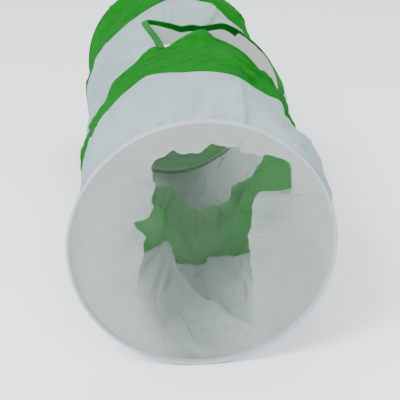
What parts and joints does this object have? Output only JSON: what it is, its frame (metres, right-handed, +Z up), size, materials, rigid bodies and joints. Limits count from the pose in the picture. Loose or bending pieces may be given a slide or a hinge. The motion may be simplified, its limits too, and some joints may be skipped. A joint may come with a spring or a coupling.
{
  "type": "kids play tunnel",
  "caption": "Pop-up crawl-through tunnel of thin nylon held open by spring-steel hoops, white and green by turns, with a bound peep-hole; it folds flat along its length.",
  "frame": {"origin": "on the floor, under the middle of the tunnel's bounding box as it lies", "axes": "+Y along the tunnel from its mouth to its rear end, +Z up, +X to the right seen from the mouth"},
  "size_m": [0.4998, 1.26, 0.492],
  "materials": {
    "steel": "drawn spring-steel wire",
    "white_cloth": "thin plain-weave nylon, slightly see-through",
    "green_cloth": "thin plain-weave nylon, slightly see-through",
    "white_tape": "folded nylon tape, lockstitched",
    "dark_green_tape": "woven polyester binding tape, lockstitched"
  },
  "bodies": {
    "mouth": {"front_hem": "white_tape", "hoop_1_wire": "steel", "hoop_1_crimp": "steel", "panel_1_white": "white_cloth"},
    "hoop_2": {"seam_tape_2": "green_cloth", "hoop_2_wire": "steel", "hoop_2_crimp": "steel", "panel_2_green": "green_cloth"},
    "hoop_3": {"seam_tape_3": "green_cloth", "hoop_3_wire": "steel", "hoop_3_crimp": "steel", "panel_3_white": "white_cloth", "window_binding_left": "dark_green_tape", "window_binding_far": "dark_green_tape", "window_binding_right": "dark_green_tape", "window_patch_left": "dark_green_tape", "window_patch_right": "dark_green_tape", "window_tab": "dark_green_tape"},
    "hoop_4": {"seam_tape_4": "green_cloth", "hoop_4_wire": "steel", "hoop_4_crimp": "steel", "panel_4_green": "green_cloth"},
    "rear": {"rear_hem": "green_cloth", "hoop_5_wire": "steel", "hoop_5_crimp": "steel"}
  },
  "joints": [
    {"name": "section_1_slide", "type": "slide", "parent": "mouth", "child": "hoop_2", "axis": [0, -1, 0], "range_m": [0, 0.296], "stiffness_N_per_m": 15, "deforming": ["panel_1_white"]},
    {"name": "section_2_slide", "type": "slide", "parent": "hoop_2", "child": "hoop_3", "axis": [0, -1, 0], "range_m": [0, 0.229], "deforming": ["panel_2_green"]},
    {"name": "section_3_slide", "type": "slide", "parent": "hoop_3", "child": "hoop_4", "axis": [0.1219, -0.9925, 0], "range_m": [0, 0.368], "deforming": ["panel_3_white", "window_binding_left", "window_binding_far", "window_binding_right"]},
    {"name": "section_4_slide", "type": "slide", "parent": "hoop_4", "child": "rear", "axis": [0, -1, 0], "range_m": [0, 0.25], "deforming": ["panel_4_green"]}
  ],
  "couplings": [
    {"joint": "section_2_slide", "follows": "section_1_slide", "ratio": 0.7736},
    {"joint": "section_3_slide", "follows": "section_1_slide", "ratio": 1.2432},
    {"joint": "section_4_slide", "follows": "section_1_slide", "ratio": 0.8445}
  ]
}
